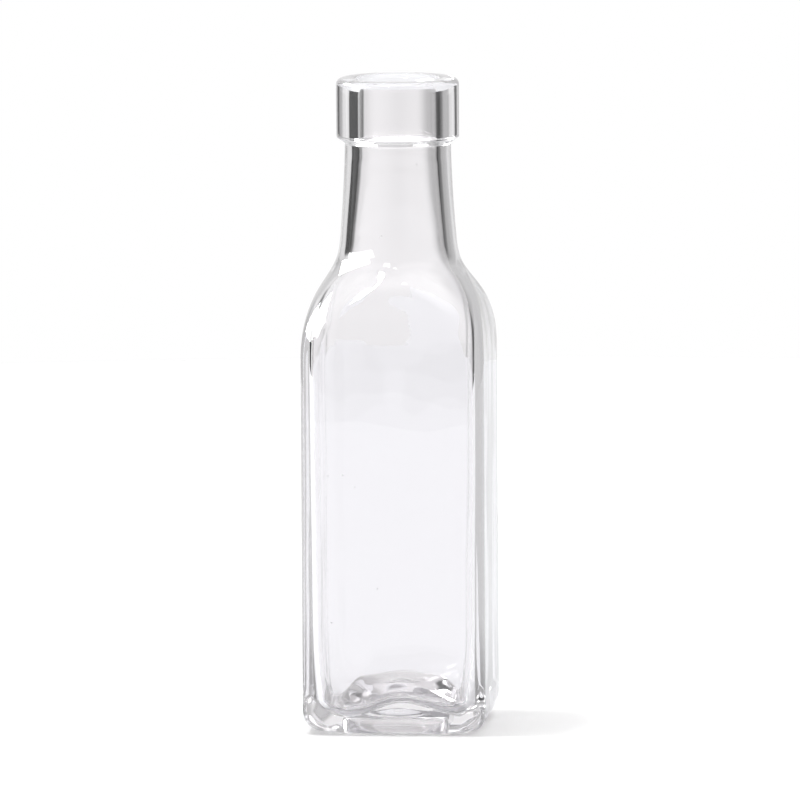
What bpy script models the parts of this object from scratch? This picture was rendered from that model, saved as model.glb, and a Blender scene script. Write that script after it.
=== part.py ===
"""An empty square bottle of clear glass: one closed shell of glass with an open mouth.

The shell is one loft. It starts at the middle of the underside, runs out over the foot,
up the square body and the round neck, over the lip, and down inside to the floor's middle.
Every section is a rounded square. On the neck its corners have the section's own
half width as their radius, so it is a circle there.

Frame: +Z up, origin on the axis in the plane that the bottle stands on, front face at -Y.
Sizes below are in millimetres.
"""

import math

import bmesh
import bpy

MM = 0.001
NAME = "square_glass_bottle"

# Outside of the body
BODY_HALF = 22.0
BODY_CORNER = 4.3
HEEL_HEIGHT = 6.0
SHOULDER_FOOT_Z = 89.0

# Underside: a flat bearing ring round a square recess with a low dome
FOOT_HALF = 17.8
FOOT_CORNER = 9.0
RECESS_HALF = 13.2
RECESS_CORNER = 2.0
RECESS_STEP = 4.2
RECESS_SLOPE = 0.5
DOME_HALF = 8.0
DOME_SHARES = (0.3, 0.65, 1.0)
PUSH_UP = 4.9

# Shoulder and neck, outside
NECK_HALF = 12.75
NECK_FOOT_HALF = 14.05
NECK_FOOT_Z = 117.0
NECK_FLARE_POWER = 1.6
THROAT_PULL = 10.5
SHOULDER_PULL = 20.0
ROUND_FROM_Z = 114.0
ROUNDING_POWER = 1.6

# Lip band, made to take an 18.5 mm bar-top cork
HEIGHT = 156.0
LIP_HALF = 14.75
LIP_FOOT_Z = 141.6
LIP_FOOT_ROUND = 0.5
LIP_UNDERCUT = 0.9
LIP_OUTER_ROUND = 1.6
MOUTH_ROUND = 2.2
BORE_HALF = 9.3
BORE_FOOT_Z = 137.0

# Inside: wall thickness at a few heights, rounded corners, and a floor that rises over
# the recess to a level top. Near the floor the corners open out and the glass falls
# towards them, fading out up the wall
WALL_AT_Z = ((0.0, 3.4), (30.0, 3.0), (88.0, 2.7), (105.0, 2.6), (117.0, 3.0), (137.0, 3.4))
INNER_CORNER = 2.0
FLOOR_Z = 7.2
FLOOR_ROUND = 3.5
FLOOR_RISE = 4.3
FLOOR_TOP_SHARE = 0.6
FLOOR_CORNER = 4.5
CORNER_DIP = 2.6
DIP_FADE_Z = 22.0
DIP_FROM_SHARE = 0.7

# How finely curves are divided
FLAT_STEPS = 4
CORNER_STEPS = 4
HEEL_STEPS = 5
ROUND_STEPS = 4
LIP_FOOT_STEPS = 2
SHOULDER_STEPS = 11
NECK_STEPS = 4
TUB_STEPS = 3
BEND_STEPS = 5
FLOOR_STEPS = 5

# Edges sharper than this many degrees are shaded as edges
SHARP_ANGLE = 35.0


def clear_scene():
    for obj in list(bpy.data.objects):
        bpy.data.objects.remove(obj, do_unlink=True)


def smooth(t):
    t = min(max(t, 0.0), 1.0)
    return t * t * (3.0 - 2.0 * t)


def section_angles(half, corner):
    """Angles round the axis for one section, with some kept for its corner rounding."""
    flat_end = max(math.atan2(half - corner, half), math.pi / 8)
    octant = [flat_end * i / FLAT_STEPS for i in range(FLAT_STEPS)]
    octant += [
        flat_end + (math.pi / 4 - flat_end) * i / CORNER_STEPS
        for i in range(CORNER_STEPS)
    ]
    quarter = octant + [math.pi / 4] + [math.pi / 2 - a for a in reversed(octant[1:])]
    return [turn * math.pi / 2 + a for turn in range(4) for a in quarter]


def reach(angle, half, corner):
    """Distance from the axis to a rounded square's edge in the direction of angle."""
    a = abs((angle + math.pi / 4) % (math.pi / 2) - math.pi / 4)
    straight = half - corner
    if half * math.tan(a) <= straight:
        return half / math.cos(a)
    along = straight * (math.cos(a) + math.sin(a))
    return along + math.sqrt(max(along**2 - 2.0 * straight**2 + corner**2, 0.0))


def bezier(points, t):
    """A cubic curve through (half, z) points, at t from 0 to 1."""
    weights = ((1 - t) ** 3, 3 * t * (1 - t) ** 2, 3 * t * t * (1 - t), t**3)
    return tuple(sum(w * p[k] for w, p in zip(weights, points)) for k in range(2))


def arc(centre, radius, start, end, steps):
    """(half, z) points on an arc about centre, from angle start to end in degrees."""
    turns = [math.radians(start + (end - start) * i / steps) for i in range(steps + 1)]
    return [
        (centre[0] + radius * math.cos(t), centre[1] + radius * math.sin(t))
        for t in turns
    ]


def neck_half(z):
    """Outer half width of the neck, which flares slowly towards its foot."""
    down = (LIP_FOOT_Z - LIP_UNDERCUT - z) / (LIP_FOOT_Z - LIP_UNDERCUT - NECK_FOOT_Z)
    return NECK_HALF + (NECK_FOOT_HALF - NECK_HALF) * max(down, 0.0) ** NECK_FLARE_POWER


def outer_line():
    """(half, z) points up the outside from the shoulder's foot to the lip's underside."""
    flare = NECK_FLARE_POWER * (NECK_FOOT_HALF - NECK_HALF)
    flare /= LIP_FOOT_Z - LIP_UNDERCUT - NECK_FOOT_Z
    curve = (
        (BODY_HALF, SHOULDER_FOOT_Z),
        (BODY_HALF, SHOULDER_FOOT_Z + SHOULDER_PULL),
        (NECK_FOOT_HALF + flare * THROAT_PULL, NECK_FOOT_Z - THROAT_PULL),
        (NECK_FOOT_HALF, NECK_FOOT_Z),
    )
    line = [bezier(curve, i / SHOULDER_STEPS) for i in range(SHOULDER_STEPS + 1)]
    neck_top = LIP_FOOT_Z - LIP_UNDERCUT
    for i in range(1, NECK_STEPS + 1):
        z = NECK_FOOT_Z + (neck_top - NECK_FOOT_Z) * i / NECK_STEPS
        line.append((neck_half(z), z))
    return line


def corner_at(half, z, body_corner):
    """Corner radius of a section: the body's on the body, a full circle on the neck."""
    share = smooth((z - SHOULDER_FOOT_Z) / (ROUND_FROM_Z - SHOULDER_FOOT_Z))
    share = share**ROUNDING_POWER
    return min(body_corner + (half - body_corner) * share, half)


def wall_at(z):
    """Wall thickness at height z, eased between the given heights."""
    for (z0, w0), (z1, w1) in zip(WALL_AT_Z, WALL_AT_Z[1:]):
        if z <= z1:
            return w0 + (w1 - w0) * smooth((z - z0) / (z1 - z0))
    return WALL_AT_Z[-1][1]


def underside_sections():
    """Sections (half, corner, z) from near the underside's middle out to the heel."""
    made = []
    for share in DOME_SHARES:
        z = RECESS_STEP + (PUSH_UP - RECESS_STEP) * (1.0 - smooth(share))
        made.append((DOME_HALF * share, DOME_HALF * share, z))
    made.append((RECESS_HALF - RECESS_SLOPE, RECESS_CORNER, RECESS_STEP))
    made.append((RECESS_HALF, RECESS_CORNER, 0.0))
    for i in range(HEEL_STEPS + 1):
        turn = math.pi / 2 * i / HEEL_STEPS
        half = FOOT_HALF + (BODY_HALF - FOOT_HALF) * math.sin(turn)
        corner = FOOT_CORNER + (BODY_CORNER - FOOT_CORNER) * math.sin(turn)
        made.append((half, corner, HEEL_HEIGHT * (1.0 - math.cos(turn))))
    return made


def outside_sections():
    """Sections from the shoulder's foot up to where the neck meets the lip band."""
    return [(h, corner_at(h, z, BODY_CORNER), z) for h, z in outer_line()]


def lip_sections():
    """Circular sections over the lip band, from its undercut to the foot of the bore."""
    foot = (LIP_HALF - LIP_FOOT_ROUND, LIP_FOOT_Z + LIP_FOOT_ROUND)
    line = arc(foot, LIP_FOOT_ROUND, -90, 0, LIP_FOOT_STEPS)
    outer = (LIP_HALF - LIP_OUTER_ROUND, HEIGHT - LIP_OUTER_ROUND)
    line += arc(outer, LIP_OUTER_ROUND, 0, 90, ROUND_STEPS)
    mouth = (BORE_HALF + MOUTH_ROUND, HEIGHT - MOUTH_ROUND)
    line += arc(mouth, MOUTH_ROUND, 90, 180, ROUND_STEPS)
    line.append((BORE_HALF, BORE_FOOT_Z))
    return [(h, h, z) for h, z in line]


def tub_corner(z):
    """Corner radius of the inside, which opens out towards the floor."""
    down = smooth((DIP_FADE_Z - z) / (DIP_FADE_Z - FLOOR_Z))
    return INNER_CORNER + (FLOOR_CORNER - INNER_CORNER) * down


def corner_dip(half, z):
    """How far below its mid-sides a section of the inside lies at its corners."""
    low = smooth((DIP_FADE_Z - z) / (DIP_FADE_Z - FLOOR_Z - FLOOR_ROUND))
    return CORNER_DIP * low * smooth(half / BORE_HALF - DIP_FROM_SHARE)


def inside_sections():
    """Sections down the inside, from under the bore to near the floor's middle."""
    line = [(h - wall_at(z), z) for h, z in reversed(outer_line()) if z < BORE_FOOT_Z]
    made = [(h, corner_at(h, z, INNER_CORNER), z) for h, z in line]
    bend_z = FLOOR_Z + FLOOR_ROUND
    heights = [(SHOULDER_FOOT_Z + DIP_FADE_Z) / 2]
    heights += [DIP_FADE_Z + (bend_z - DIP_FADE_Z) * i / TUB_STEPS for i in range(TUB_STEPS)]
    made += [(BODY_HALF - wall_at(z), tub_corner(z), z) for z in heights]
    side = BODY_HALF - wall_at(bend_z)
    bend = arc((side - FLOOR_ROUND, bend_z), FLOOR_ROUND, 0, -90, BEND_STEPS)
    made += [(half, tub_corner(z), z) for half, z in bend]
    floor_half = bend[-1][0]
    for i in range(1, FLOOR_STEPS + 1):
        share = i / FLOOR_STEPS
        half = floor_half * (1.0 - (1.0 - FLOOR_TOP_SHARE) * share)
        corner = FLOOR_CORNER + (half - FLOOR_CORNER) * smooth(share)
        made.append((half, corner, FLOOR_Z + FLOOR_RISE * smooth(share)))
    return made


def loft(name, sections, bottom_z, top_z):
    """A closed mesh through sections (half, corner, z, dip), with a middle point at each end."""
    shell = bmesh.new()
    rings = []
    for half, corner, z, dip in sections:
        ring = []
        for angle in section_angles(half, corner):
            r = reach(angle, half, corner) * MM
            height = (z - dip * math.sin(2.0 * angle) ** 2) * MM
            ring.append(shell.verts.new((r * math.cos(angle), r * math.sin(angle), height)))
        rings.append(ring)
    count = len(rings[0])
    for low, high in zip(rings, rings[1:]):
        for i in range(count):
            j = (i + 1) % count
            shell.faces.new((low[i], low[j], high[j], high[i]))
    for ring, z in ((rings[0], bottom_z), (rings[-1], top_z)):
        middle = shell.verts.new((0.0, 0.0, z * MM))
        for i in range(count):
            shell.faces.new((ring[i], ring[(i + 1) % count], middle))
    bmesh.ops.recalc_face_normals(shell, faces=shell.faces)
    mesh = bpy.data.meshes.new(name)
    shell.to_mesh(mesh)
    shell.free()
    return bpy.data.objects.new(name, mesh)


def clear_glass():
    """Flint glass: colourless, with the faint green-blue of soda lime in thick parts."""
    material = bpy.data.materials.new("clear_glass")
    material.use_nodes = True
    shader = material.node_tree.nodes["Principled BSDF"]
    shader.inputs["Base Color"].default_value = (0.955, 0.97, 0.968, 1.0)
    shader.inputs["Roughness"].default_value = 0.0
    shader.inputs["Metallic"].default_value = 0.0
    shader.inputs["IOR"].default_value = 1.52
    shader.inputs["Transmission Weight"].default_value = 1.0
    return material


def build_bottle():
    outside = underside_sections() + outside_sections() + lip_sections()
    sections = [(h, c, z, 0.0) for h, c, z in outside]
    sections += [(h, c, z, corner_dip(h, z)) for h, c, z in inside_sections()]
    bottle = loft("bottle", sections, PUSH_UP, FLOOR_Z + FLOOR_RISE)
    bottle.data.materials.append(clear_glass())
    bottle.data.shade_smooth()
    bottle.data.set_sharp_from_angle(angle=math.radians(SHARP_ANGLE))
    return bottle


def main():
    clear_scene()
    collection = bpy.data.collections.new(NAME)
    bpy.context.scene.collection.children.link(collection)
    collection.objects.link(build_bottle())


main()
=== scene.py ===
import math

import bmesh
import bpy
from mathutils import Matrix, Vector, noise


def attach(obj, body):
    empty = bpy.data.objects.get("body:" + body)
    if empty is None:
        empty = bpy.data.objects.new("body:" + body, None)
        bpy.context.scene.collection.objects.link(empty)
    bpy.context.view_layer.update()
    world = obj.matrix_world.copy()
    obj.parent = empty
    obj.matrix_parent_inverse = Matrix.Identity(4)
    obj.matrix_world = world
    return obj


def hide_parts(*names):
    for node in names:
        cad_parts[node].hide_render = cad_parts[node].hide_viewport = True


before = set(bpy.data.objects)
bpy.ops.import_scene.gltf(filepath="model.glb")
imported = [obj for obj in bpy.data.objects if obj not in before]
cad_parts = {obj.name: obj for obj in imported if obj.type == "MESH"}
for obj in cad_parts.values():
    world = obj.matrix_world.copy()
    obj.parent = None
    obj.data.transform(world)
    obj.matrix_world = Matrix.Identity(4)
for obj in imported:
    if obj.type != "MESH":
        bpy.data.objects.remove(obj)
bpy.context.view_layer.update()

mm = 0.001   # lengths in the settings are in mm where nothing else is said, and the scene is in metres


def smooth(t):
    # from 0 to 1 with an even start and end
    t = min(max(t, 0.0), 1.0)
    return t * t * (3.0 - 2.0 * t)


def hexColour(code):
    # sRGB hex to the linear colour that shaders want
    parts = [int(code[i:i + 2], 16) / 255 for i in (1, 3, 5)]
    return tuple(p / 12.92 if p <= 0.04045 else ((p + 0.055) / 1.055) ** 2.4 for p in parts) + (1.0,)


def addNode(tree, kind, settings=None, **inputs):
    # settings are the node's own options; inputs are values, or another node's output
    node = tree.nodes.new(kind)
    for name, value in (settings or {}).items():
        setattr(node, name, value)
    for name, value in inputs.items():
        # i0 and i1 are sockets by number, for a node that gives them all one name
        byNumber = name[0] == "i" and name[1:].isdigit()
        socket = node.inputs[int(name[1:]) if byNumber else name.replace("_", " ")]
        if isinstance(value, bpy.types.NodeSocket):
            tree.links.new(value, socket)
        else:
            socket.default_value = value
    return node


# the camera, a long lens from far away

cameraSettings = {
    "azimuth": 5.5,        # degrees from straight in front, towards +X
    "elevation": 6.8,
    "roll": 0.35,
    "distance": 3.5,       # metres
    "clipEnd": 100.0,      # metres
    "aimHeight": 78.3,
    "aimSide": 0.15,
    "pixelsPerMm": 4.17,   # at the bottle
    "frameWidth": 800,     # pixels
    "sensorWidth": 36.0,
}


def makeCamera(settings):
    azimuth = math.radians(settings["azimuth"])
    elevation = math.radians(settings["elevation"])
    back = Vector((
        math.sin(azimuth) * math.cos(elevation),
        -math.cos(azimuth) * math.cos(elevation),
        math.sin(elevation),
    ))
    aim = Vector((settings["aimSide"] * mm, 0.0, settings["aimHeight"] * mm))
    camera = bpy.data.cameras.new("camera")
    camera.sensor_width = settings["sensorWidth"]
    pixelsPerMetre = settings["pixelsPerMm"] / mm
    camera.lens = pixelsPerMetre * settings["distance"] / settings["frameWidth"] * camera.sensor_width
    camera.clip_end = settings["clipEnd"]
    holder = bpy.data.objects.new("camera", camera)
    bpy.context.scene.collection.objects.link(holder)
    turn = back.to_track_quat("Z", "Y").to_matrix().to_4x4()
    roll = Matrix.Rotation(-math.radians(settings["roll"]), 4, "Z")
    holder.matrix_world = Matrix.Translation(aim + back * settings["distance"]) @ turn @ roll
    bpy.context.scene.camera = holder


makeCamera(cameraSettings)
print("camera placed")


# the glass, one closed skin of rounded-square sections: from the middle of the underside
# out and up to the lip, over it, and down inside to the middle of the floor

glass = {
    # outside
    "bodyHalf": 22.0, "bodyCorner": 4.3, "heelHeight": 6.0, "footHalf": 17.8, "footCorner": 9.0,
    "shoulderFootZ": 89.0, "shoulderPull": 20.0, "throatPull": 10.5,
    "neckHalf": 12.75, "neckFootHalf": 14.05, "neckFootZ": 117.0, "neckFlarePower": 1.6,
    "roundFromZ": 114.0, "roundingPower": 1.6,
    # underside
    "recessHalf": 13.2, "recessCorner": 2.0, "recessStep": 4.2, "recessSlope": 0.5, "recessRound": 0.5,
    "domeHalf": 8.0, "pushUp": 4.9,
    # lip
    "height": 156.0, "lipHalf": 14.75, "lipFootZ": 141.6, "lipFootRound": 0.5, "lipUndercut": 0.9,
    "neckFillet": 0.5, "lipOuterRound": 1.6, "mouthRound": 2.2, "boreHalf": 9.3, "boreFootZ": 137.0,
    # inside: the wall's thickness at each height, and the floor's rise in the middle
    "wallAtZ": ((0.0, 3.4), (30.0, 3.0), (88.0, 2.7), (105.0, 2.6), (117.0, 3.0), (137.0, 3.4)),
    "innerCorner": 2.0, "floorCorner": 4.5,
    "floorZ": 7.2, "floorRound": 3.5, "floorRise": 4.3, "floorTopShare": 0.6,
    # the floor's fall towards its corners: it starts at a share of the bore's half, ends at a
    # height on the wall, and is turned a few degrees
    "cornerDip": 2.6, "dipFromShare": 0.7, "dipFadeZ": 22.0, "dipTurn": 7.0,
    # how far the blown inside and its floor wander, and the outside, which the mould holds
    "insideWave": 0.08, "floorWave": 0.5, "outsideWave": 0.07,
    # how long those waves are, inside across and upwards, and where in the noise they start
    "longWave": (14.0, 30.0), "shortWave": (6.0, 16.0), "shortWaveShare": 0.5,
    "floorWaveLength": 11.0, "outsideWaveLength": 17.0,
    "insideStart": (3.1, 7.7, 1.9), "floorStart": (5.0, 1.0, 2.0),
    # they reach their full height this far from the axis, the foot and the top, and the floor's
    # own wave has died away this far above it
    "axisFade": 8.0, "footFade": 8.0, "topFade": 20.0, "floorWaveEnd": 8.0,
    # seeds, the small bubbles caught in the wall: x, y, z and radius
    "seeds": (
        (-15.2, -20.7, 62.5, 0.16), (-11.6, -20.5, 62.7, 0.18), (-8.8, -20.8, 59.8, 0.15),
        (-3.5, -20.6, 35.4, 0.15), (-14.6, -20.7, 27.2, 0.18), (19.8, -20.2, 86.9, 0.24),
        (21.2, 0.0, 73.4, 0.32), (-2.8, -12.4, 119.1, 0.22), (5.3, -10.3, 136.2, 0.14),
    ),
    # steps round a section, and along each stretch of the outside, the lip and the inside
    "steps": {
        "flat": 16, "corner": 16,
        "dome": 8, "recessRound": 4, "heel": 18, "side": 16, "shoulder": 40, "neck": 10,
        "fillet": 3, "lipFoot": 5, "lipOuter": 9, "mouth": 10, "bore": 5,
        "floorRound": 14, "floorSlope": 20, "floorTop": 6, "seed": 3,
    },
    "seamWidth": 0.001,   # vertices this near each other are one
}


def sectionAngles(g, half, corner):
    # directions round the axis, with a fixed share of them on the corner's rounding
    flatSteps, cornerSteps = g["steps"]["flat"], g["steps"]["corner"]
    flatEnd = max(math.atan2(half - corner, half), math.pi / 8)
    octant = [flatEnd * i / flatSteps for i in range(flatSteps)]
    octant += [flatEnd + (math.pi / 4 - flatEnd) * i / cornerSteps for i in range(cornerSteps)]
    quarter = octant + [math.pi / 4] + [math.pi / 2 - a for a in reversed(octant[1:])]
    return [turn * math.pi / 2 + a for turn in range(4) for a in quarter]


def reach(angle, half, corner):
    # from the axis to a rounded square's edge
    a = abs((angle + math.pi / 4) % (math.pi / 2) - math.pi / 4)
    straight = half - corner
    if half * math.tan(a) <= straight:
        return half / math.cos(a)
    along = straight * (math.cos(a) + math.sin(a))
    return along + math.sqrt(max(along ** 2 - 2.0 * straight ** 2 + corner ** 2, 0.0))


def arc(centreHalf, centreZ, radius, start, end, steps):
    # (half, z) along a rounding, from one angle in degrees to another
    turns = [math.radians(start + (end - start) * i / steps) for i in range(steps + 1)]
    return [(centreHalf + radius * math.cos(t), centreZ + radius * math.sin(t)) for t in turns]


def bezier(points, t):
    weights = ((1 - t) ** 3, 3 * t * (1 - t) ** 2, 3 * t * t * (1 - t), t ** 3)
    return tuple(sum(w * p[k] for w, p in zip(weights, points)) for k in range(2))


def outerLine(g):
    # (half, z) up the outside, from the shoulder's foot to the lip
    shoulderSteps, neckSteps = g["steps"]["shoulder"], g["steps"]["neck"]
    neckTop = g["lipFootZ"] - g["lipUndercut"]
    flare = g["neckFlarePower"] * (g["neckFootHalf"] - g["neckHalf"]) / (neckTop - g["neckFootZ"])
    curve = (
        (g["bodyHalf"], g["shoulderFootZ"]),
        (g["bodyHalf"], g["shoulderFootZ"] + g["shoulderPull"]),
        (g["neckFootHalf"] + flare * g["throatPull"], g["neckFootZ"] - g["throatPull"]),
        (g["neckFootHalf"], g["neckFootZ"]),
    )
    line = [bezier(curve, i / shoulderSteps) for i in range(shoulderSteps + 1)]
    for i in range(1, neckSteps + 1):
        z = g["neckFootZ"] + (neckTop - g["neckFillet"] - g["neckFootZ"]) * i / neckSteps
        down = (neckTop - z) / (neckTop - g["neckFootZ"])
        line.append((g["neckHalf"] + (g["neckFootHalf"] - g["neckHalf"]) * down ** g["neckFlarePower"], z))
    return line


def cornerAt(g, half, z, bodyCorner):
    # a section's corner, which opens up the shoulder until the section is round
    share = smooth((z - g["shoulderFootZ"]) / (g["roundFromZ"] - g["shoulderFootZ"])) ** g["roundingPower"]
    return min(bodyCorner + (half - bodyCorner) * share, half)


def wallAt(g, z):
    table = g["wallAtZ"]
    for (z0, w0), (z1, w1) in zip(table, table[1:]):
        if z <= z1:
            return w0 + (w1 - w0) * smooth((z - z0) / (z1 - z0))
    return table[-1][1]


def outsideSections(g):
    # (half, corner, z) from the underside's middle out, and up to the lip's foot
    steps = g["steps"]
    made = []
    for i in range(1, steps["dome"] + 1):
        share = i / steps["dome"]
        z = g["recessStep"] + (g["pushUp"] - g["recessStep"]) * (1.0 - smooth(share))
        made.append((g["domeHalf"] * share, g["domeHalf"] * share, z))
    inset = g["recessHalf"] - g["recessSlope"]
    r = g["recessRound"]
    made.append((inset - r, g["recessCorner"] - r, g["recessStep"]))
    for half, z in arc(inset - r, g["recessStep"] - r, r, 90, 0, steps["recessRound"])[1:]:
        made.append((half, g["recessCorner"] + half - inset, z))
    for half, z in arc(g["recessHalf"] + r, r, r, 180, 270, steps["recessRound"]):
        made.append((half, g["recessCorner"] + half - g["recessHalf"], z))
    for i in range(steps["heel"] + 1):
        turn = math.pi / 2 * i / steps["heel"]
        half = g["footHalf"] + (g["bodyHalf"] - g["footHalf"]) * math.sin(turn)
        corner = g["footCorner"] + (g["bodyCorner"] - g["footCorner"]) * math.sin(turn)
        made.append((half, corner, g["heelHeight"] * (1.0 - math.cos(turn))))
    for i in range(1, steps["side"]):
        z = g["heelHeight"] + (g["shoulderFootZ"] - g["heelHeight"]) * i / steps["side"]
        made.append((g["bodyHalf"], g["bodyCorner"], z))
    for half, z in outerLine(g):
        made.append((half, cornerAt(g, half, z, g["bodyCorner"]), z))
    return made


def lipSections(g):
    # all round, from the neck's fillet over the lip and down the bore
    steps = g["steps"]
    neckTop = g["lipFootZ"] - g["lipUndercut"]
    fillet, foot, outer, mouth = g["neckFillet"], g["lipFootRound"], g["lipOuterRound"], g["mouthRound"]
    line = arc(g["neckHalf"] + fillet, neckTop - fillet, fillet, 180, 120, steps["fillet"])[1:]
    line.append(((g["neckHalf"] + g["lipHalf"]) / 2, (neckTop + g["lipFootZ"]) / 2))
    line += arc(g["lipHalf"] - foot, g["lipFootZ"] + foot, foot, -90, 0, steps["lipFoot"])
    line.append((g["lipHalf"], (g["lipFootZ"] + g["height"]) / 2))
    line += arc(g["lipHalf"] - outer, g["height"] - outer, outer, 0, 90, steps["lipOuter"])
    line += arc(g["boreHalf"] + mouth, g["height"] - mouth, mouth, 90, 180, steps["mouth"])
    for i in range(1, steps["bore"] + 1):
        z = g["height"] - mouth
        line.append((g["boreHalf"], z + (g["boreFootZ"] - z) * i / steps["bore"]))
    return [(half, half, z) for half, z in line]


def tubCorner(g, z):
    # the inside's corners open out towards the floor
    down = smooth((g["dipFadeZ"] - z) / (g["dipFadeZ"] - g["floorZ"]))
    return g["innerCorner"] + (g["floorCorner"] - g["innerCorner"]) * down


def insideSections(g):
    # down the inside from the bore's foot, round the bend and in to the floor's middle
    steps = g["steps"]
    line = [(h - wallAt(g, z), z) for h, z in reversed(outerLine(g)) if z < g["boreFootZ"]]
    made = [(h, cornerAt(g, h, z, g["innerCorner"]), z) for h, z in line]
    bendTop = g["floorZ"] + g["floorRound"]
    for i in range(1, steps["side"]):
        z = g["shoulderFootZ"] + (bendTop - g["shoulderFootZ"]) * i / steps["side"]
        made.append((g["bodyHalf"] - wallAt(g, z), tubCorner(g, z), z))
    side = g["bodyHalf"] - wallAt(g, bendTop)
    bend = arc(side - g["floorRound"], bendTop, g["floorRound"], 0, -90, steps["floorRound"])
    made += [(half, tubCorner(g, z), z) for half, z in bend]
    floorHalf = bend[-1][0]
    for i in range(1, steps["floorSlope"] + 1):
        share = i / steps["floorSlope"]
        half = floorHalf * (1.0 - (1.0 - g["floorTopShare"]) * share)
        corner = min(g["floorCorner"] + (half - g["floorCorner"]) * smooth(share), half)
        made.append((half, corner, g["floorZ"] + g["floorRise"] * smooth(share)))
    topHalf = floorHalf * g["floorTopShare"]
    for i in range(1, steps["floorTop"]):
        half = topHalf * (1.0 - i / steps["floorTop"])
        made.append((half, half, g["floorZ"] + g["floorRise"]))
    return made


def drawnOut(spot, across, upwards):
    return Vector((spot.x / across, spot.y / across, spot.z / upwards))


def placeRing(g, ring, section, inside):
    # ring runs once round, with a last vertex that falls on the first
    half, corner, z = section
    angles = sectionAngles(g, half, corner)
    for vert, angle in zip(ring, angles + angles[:1]):
        r = reach(angle, half, corner)
        spot = Vector((r * math.cos(angle), r * math.sin(angle), z))
        lift = 0.0
        if inside:
            low = smooth((g["dipFadeZ"] - z) / (g["dipFadeZ"] - g["floorZ"] - g["floorRound"]))
            outward = smooth(half / g["boreHalf"] - g["dipFromShare"])
            diagonal = math.sin(2 * (angle - math.radians(g["dipTurn"]))) ** 2
            lift = -g["cornerDip"] * low * outward * diagonal
            # blown glass is never even: slow swells along the wall, more at the floor
            swell = noise.noise(drawnOut(spot, *g["longWave"]) + Vector(g["insideStart"]))
            swell += g["shortWaveShare"] * noise.noise(drawnOut(spot, *g["shortWave"]))
            below = smooth((g["boreFootZ"] - z) / g["topFade"])
            r += g["insideWave"] * swell * below * smooth(half / g["axisFade"])
            low = smooth((g["floorZ"] + g["floorWaveEnd"] - z) / g["floorWaveEnd"])
            lift += g["floorWave"] * low * noise.noise(spot / g["floorWaveLength"] + Vector(g["floorStart"]))
        else:
            # the mould holds the outside, but for slow hollows
            spread = smooth(z / g["footFade"]) * smooth((g["height"] - z) / g["topFade"])
            r -= g["outsideWave"] * spread * (0.5 + 0.5 * noise.noise(spot / g["outsideWaveLength"]))
        vert.co = Vector((r * math.cos(angle), r * math.sin(angle), z + lift)) * mm


def makeBottle(g):
    outside = [(0.0, 0.0, g["pushUp"])] + outsideSections(g) + lipSections(g)
    sections = outside + insideSections(g) + [(0.0, 0.0, g["floorZ"] + g["floorRise"])]
    count = 8 * (g["steps"]["flat"] + g["steps"]["corner"])
    shell = bmesh.new()
    bmesh.ops.create_grid(shell, x_segments=count, y_segments=len(sections) - 1, size=1.0)
    # the grid's rows, one for each section, rounded so that a row stays together
    verts = sorted(shell.verts, key=lambda v: (round(v.co.y, 5), v.co.x))
    for k, section in enumerate(sections):
        ring = verts[k * (count + 1):(k + 1) * (count + 1)]
        placeRing(g, ring, section, k >= len(outside))
    bmesh.ops.remove_doubles(shell, verts=shell.verts, dist=g["seamWidth"] * mm)
    bmesh.ops.recalc_face_normals(shell, faces=shell.faces)
    for x, y, z, radius in g["seeds"]:
        seed = bmesh.ops.create_icosphere(shell, subdivisions=g["steps"]["seed"], radius=radius * mm,
                                          matrix=Matrix.Translation(Vector((x, y, z)) * mm))
        # the air is inside, so its faces look inwards, away from the glass
        seedFaces = {face for vert in seed["verts"] for face in vert.link_faces}
        bmesh.ops.reverse_faces(shell, faces=list(seedFaces))
    mesh = bpy.data.meshes.new("bottle_glass")
    shell.to_mesh(mesh)
    shell.free()
    mesh.shade_smooth()
    piece = bpy.data.objects.new("bottle_glass", mesh)
    bpy.context.scene.collection.objects.link(piece)
    return piece


glassFinish = {
    "colour": "#FEFDFE", "roughness": 0.0, "ior": 1.52,
    "tint": "#EDEBEE", "tintDensity": 10.0,   # per metre of glass
    # painted glow in a thick edge: the reflections that light is followed for before the glass itself glows,
    # and that glow's strength by height, weaker near the table
    "followedFor": 4.5, "lowZ": 8.0, "highZ": 24.0, "lowPaintedGlow": 0.36, "highPaintedGlow": 0.64,
}


def flintGlass(finish):
    # soda-lime flint glass, machine blown: clear and glossy, a breath of cool tint where it is thick
    material = bpy.data.materials.new("flint_glass_blown")
    material.use_nodes = True
    tree = material.node_tree
    shader = tree.nodes["Principled BSDF"]
    shader.inputs["Base Color"].default_value = hexColour(finish["colour"])
    shader.inputs["Roughness"].default_value = finish["roughness"]
    shader.inputs["IOR"].default_value = finish["ior"]
    shader.inputs["Transmission Weight"].default_value = 1.0
    # painted glow: light that has been reflected again and again inside a thick edge is followed no further,
    # and there the glass itself glows with the mean tone of the light tent instead of going black, with
    # painted shade that makes it darker near the table
    rays = addNode(tree, "ShaderNodeLightPath")
    caught = addNode(tree, "ShaderNodeMath", {"operation": "GREATER_THAN"},
                     i0=rays.outputs["Glossy Depth"], i1=finish["followedFor"])
    coordinates = addNode(tree, "ShaderNodeTexCoord")
    place = addNode(tree, "ShaderNodeSeparateXYZ", Vector=coordinates.outputs["Object"])
    # painted shade by height: the glow is weaker low down, near the table
    tone = addNode(tree, "ShaderNodeMapRange", Value=place.outputs["Z"],
                   From_Min=finish["lowZ"] * mm, From_Max=finish["highZ"] * mm,
                   To_Min=finish["lowPaintedGlow"], To_Max=finish["highPaintedGlow"])
    glow = addNode(tree, "ShaderNodeMath", {"operation": "MULTIPLY"},
                   i0=caught.outputs[0], i1=tone.outputs[0])
    tree.links.new(glow.outputs[0], shader.inputs["Emission Strength"])
    tint = addNode(tree, "ShaderNodeVolumeAbsorption", Color=hexColour(finish["tint"]),
                   Density=finish["tintDensity"])
    tree.links.new(tint.outputs["Volume"], tree.nodes["Material Output"].inputs["Volume"])
    return material


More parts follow.
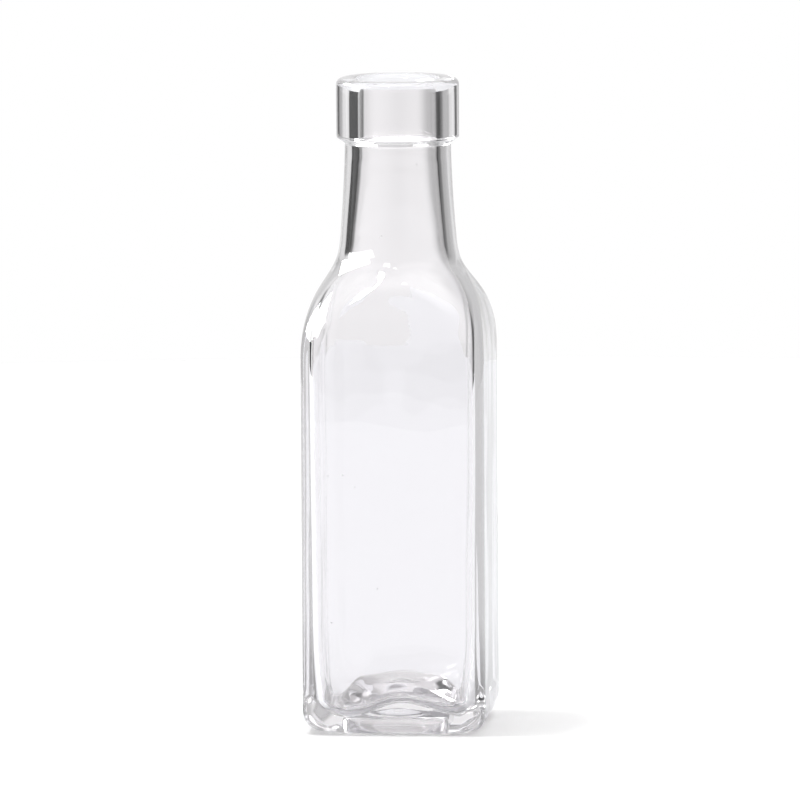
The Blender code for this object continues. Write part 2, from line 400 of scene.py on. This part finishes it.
bottle = makeBottle(glass)
bottle.data.materials.append(flintGlass(glassFinish))
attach(bottle, "root")
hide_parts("bottle")
print("glass made:", len(bottle.data.polygons), "faces")


# the floor, a disc of paper

floorSettings = {
    "radius": 0.7,      # metres
    "segments": 96,
    "back": 0.06,       # metres that its middle lies behind the bottle, so that it ends nearer in front
    "drop": 0.02,       # under the bottle's foot, so that the two faces don't meet
    "colour": "#FBFBFB",
    "colourInGlass": "#E3E4E6",
    "roughness": 0.6,
    "specular": 0.1,
}


def makeFloor(settings):
    disc = bmesh.new()
    bmesh.ops.create_circle(disc, cap_ends=True, segments=settings["segments"], radius=settings["radius"])
    bmesh.ops.translate(disc, verts=disc.verts, vec=(0.0, settings["back"], -settings["drop"] * mm))
    mesh = bpy.data.meshes.new("floor")
    disc.to_mesh(mesh)
    disc.free()
    floor = bpy.data.objects.new("floor", mesh)
    bpy.context.scene.collection.objects.link(floor)
    # seamless white paper, matt, with no grain that shows from here: overexposed to the camera,
    # and a little greyer where the glass shows it
    material = bpy.data.materials.new("white_paper_sweep")
    material.use_nodes = True
    tree = material.node_tree
    shader = tree.nodes["Principled BSDF"]
    rays = addNode(tree, "ShaderNodeLightPath")
    tone = addNode(tree, "ShaderNodeMix", {"data_type": "RGBA"}, Factor=rays.outputs["Is Camera Ray"])
    tone.inputs["A"].default_value = hexColour(settings["colourInGlass"])
    tone.inputs["B"].default_value = hexColour(settings["colour"])
    tree.links.new(tone.outputs["Result"], shader.inputs["Base Color"])
    shader.inputs["Roughness"].default_value = settings["roughness"]
    shader.inputs["Specular IOR Level"].default_value = settings["specular"]
    mesh.materials.append(material)


makeFloor(floorSettings)
print("floor laid")


# the light

lightSettings = {
    # how bright the room is by direction, seen from the bottle: degrees round from straight behind
    # it (right is positive) and brightness, once near the table's level and once well above it
    "low": (
        (-180, 0.25), (-120, 0.65), (-90, 0.88), (-70, 0.80), (-63, 0.03), (-31, 0.02),
        (-25, 0.80), (-10, 0.95), (8, 0.90), (18, 0.55), (40, 0.45), (50, 0.16),
        (60, 0.03), (70, 0.10), (84, 0.45), (105, 0.60), (150, 0.60),
    ),
    "high": (
        (-180, 0.45), (-100, 0.85), (-70, 1.0), (-45, 1.0), (-25, 0.78), (0, 0.70),
        (22, 0.52), (50, 0.25), (75, 0.60), (110, 0.75), (150, 0.60),
    ),
    "lowTop": 10.0, "highFoot": 24.0,                   # degrees up between which one turns into the other
    "bank": 1.75, "bankFoot": 48.0, "bankFull": 66.0,   # the bank of lights overhead, from degrees up
    "strength": 1.0,
    # the softboxes, in metres, placed and aimed from a point inside the bottle at the height of middle,
    # and the sun, which casts the overhead bank's shadow
    "middle": 0.1,
    "key": {"azimuth": -83.0, "elevation": 28.0, "distance": 4.0, "size": (5.2, 1.6), "watts": 460.0},
    "fill": {"azimuth": -150.0, "elevation": 56.0, "distance": 4.0, "size": (0.7, 0.7), "watts": 60.0},
    "sun": {"azimuth": -92.0, "elevation": 77.0, "strength": 0.8, "angle": 5.0},
}


def fromBottle(azimuth, elevation):
    # a direction given round from straight behind the bottle, as the camera sees it
    a, e = math.radians(azimuth), math.radians(elevation)
    c = math.radians(cameraSettings["azimuth"])
    behind = Vector((-math.sin(c), math.cos(c), 0.0))
    right = Vector((math.cos(c), math.sin(c), 0.0))
    return (behind * math.cos(a) + right * math.sin(a)) * math.cos(e) + Vector((0.0, 0.0, math.sin(e)))


def makeWorld(settings):
    # a light tent that is open in places: the dark gaps give the glass its edges,
    # and the camera itself sees plain white
    world = bpy.data.worlds.new("light_tent")
    bpy.context.scene.world = world
    world.use_nodes = True
    tree = world.node_tree
    tree.nodes.clear()
    direction = addNode(tree, "ShaderNodeTexCoord").outputs["Generated"]
    turned = addNode(tree, "ShaderNodeMapping", Vector=direction,
                     Rotation=(0.0, 0.0, -math.radians(cameraSettings["azimuth"])))
    parts = addNode(tree, "ShaderNodeSeparateXYZ", Vector=turned.outputs["Vector"])
    angle = addNode(tree, "ShaderNodeMath", {"operation": "ARCTAN2"},
                    i0=parts.outputs["X"], i1=parts.outputs["Y"])
    turn = addNode(tree, "ShaderNodeMapRange", Value=angle.outputs[0], From_Min=-math.pi, From_Max=math.pi)
    height = addNode(tree, "ShaderNodeMapRange", {"interpolation_type": "SMOOTHSTEP"},
                     Value=parts.outputs["Z"],
                     From_Min=math.sin(math.radians(settings["lowTop"])),
                     From_Max=math.sin(math.radians(settings["highFoot"])))
    room = addNode(tree, "ShaderNodeMix", {"data_type": "RGBA"}, Factor=height.outputs[0])
    for band, socket in (("low", "A"), ("high", "B")):
        # brightness once round the room as a colour ramp, which ends as it starts
        stops = [(azimuth / 360 + 0.5, value) for azimuth, value in settings[band]]
        stops.append((1.0, stops[0][1]))
        ramp = addNode(tree, "ShaderNodeValToRGB", Fac=turn.outputs[0])
        ramp.color_ramp.interpolation = "EASE"
        elements = ramp.color_ramp.elements
        for element, (place, value) in zip(elements, (stops[0], stops[-1])):
            element.position = place
            element.color = (value, value, value, 1.0)
        for place, value in stops[1:-1]:
            elements.new(place).color = (value, value, value, 1.0)
        tree.links.new(ramp.outputs["Color"], room.inputs[socket])
    overhead = addNode(tree, "ShaderNodeMapRange", {"interpolation_type": "SMOOTHSTEP"},
                       Value=parts.outputs["Z"],
                       From_Min=math.sin(math.radians(settings["bankFoot"])),
                       From_Max=math.sin(math.radians(settings["bankFull"])))
    roofed = addNode(tree, "ShaderNodeMix", {"data_type": "RGBA"}, Factor=overhead.outputs[0])
    tree.links.new(room.outputs["Result"], roofed.inputs["A"])
    roofed.inputs["B"].default_value = (settings["bank"],) * 3 + (1.0,)
    rays = addNode(tree, "ShaderNodeLightPath")
    seen = addNode(tree, "ShaderNodeMix", {"data_type": "RGBA"}, Factor=rays.outputs["Is Camera Ray"])
    tree.links.new(roofed.outputs["Result"], seen.inputs["A"])
    seen.inputs["B"].default_value = (1.0, 1.0, 1.0, 1.0)
    sky = addNode(tree, "ShaderNodeBackground", Color=seen.outputs["Result"], Strength=settings["strength"])
    addNode(tree, "ShaderNodeOutputWorld", Surface=sky.outputs[0])


def makeLights(settings):
    middle = Vector((0.0, 0.0, settings["middle"]))
    for name in ("key", "fill"):
        softbox = settings[name]
        light = bpy.data.lights.new("softbox_" + name, "AREA")
        light.shape = "RECTANGLE"
        light.size, light.size_y = softbox["size"]
        light.energy = softbox["watts"]
        holder = bpy.data.objects.new("softbox_" + name, light)
        away = fromBottle(softbox["azimuth"], softbox["elevation"])
        holder.location = away * softbox["distance"] + middle
        holder.rotation_euler = (middle - holder.location).to_track_quat("-Z", "Y").to_euler()
        holder.visible_diffuse = False      # they shine on the glass alone and throw no shadow on the paper
        bpy.context.scene.collection.objects.link(holder)
    sun = bpy.data.lights.new("overhead_bank", "SUN")
    sun.energy = settings["sun"]["strength"]
    sun.angle = math.radians(settings["sun"]["angle"])
    holder = bpy.data.objects.new("overhead_bank", sun)
    toSun = fromBottle(settings["sun"]["azimuth"], settings["sun"]["elevation"])
    holder.rotation_euler = (-toSun).to_track_quat("-Z", "Y").to_euler()
    bpy.context.scene.collection.objects.link(holder)


makeWorld(lightSettings)
makeLights(lightSettings)
bpy.context.scene.view_settings.view_transform = "Standard"
print("lights set")
